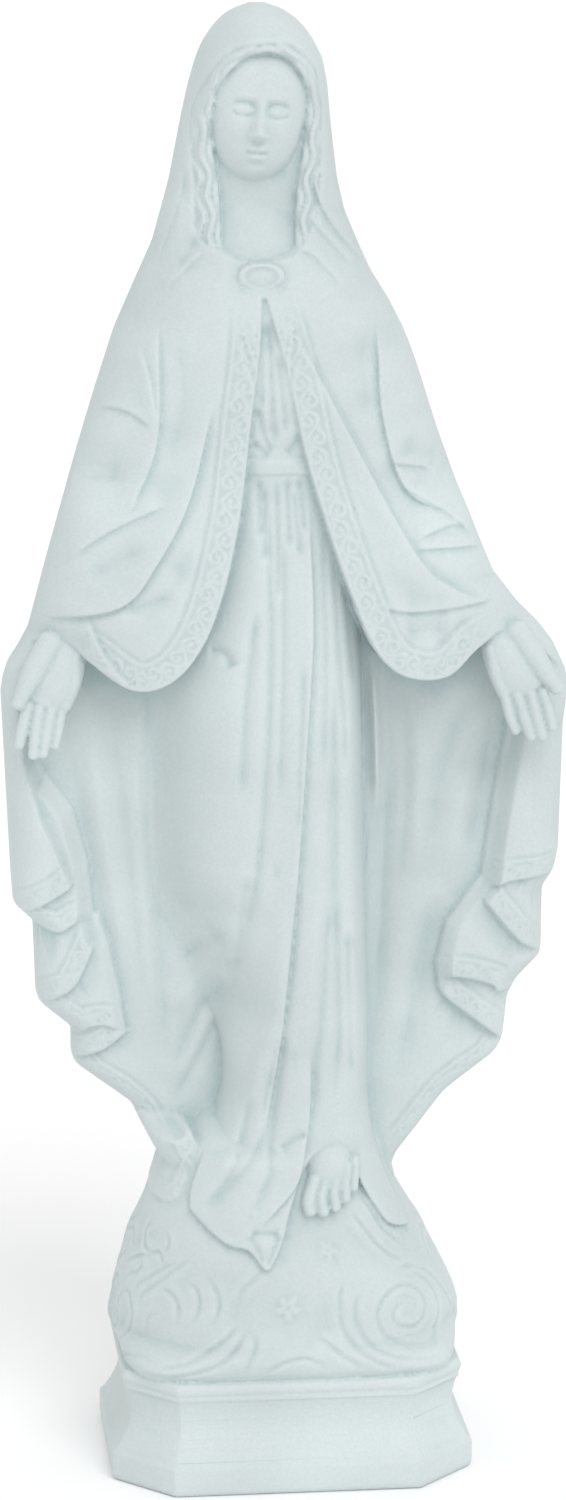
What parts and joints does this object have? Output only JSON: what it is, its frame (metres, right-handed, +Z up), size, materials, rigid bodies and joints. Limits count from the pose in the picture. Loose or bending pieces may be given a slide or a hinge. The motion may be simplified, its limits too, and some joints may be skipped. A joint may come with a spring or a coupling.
{
  "type": "virgin mary statue",
  "caption": "Veiled standing woman with lowered open hands and a long draped mantle, on a cloud mound and a moulded plinth, cast in one piece.",
  "frame": {"origin": "centre of the plinth's flat underside", "axes": "+Z up along the figure, -Y the way the face and palms look, +X toward the viewer's right from the front"},
  "size_m": [0.2337, 0.127, 0.61],
  "materials": {
    "casting": "matt off-white moulded resin with a fine stone-like grain"
  },
  "bodies": {
    "root": {"statue": "casting"}
  },
  "joints": []
}
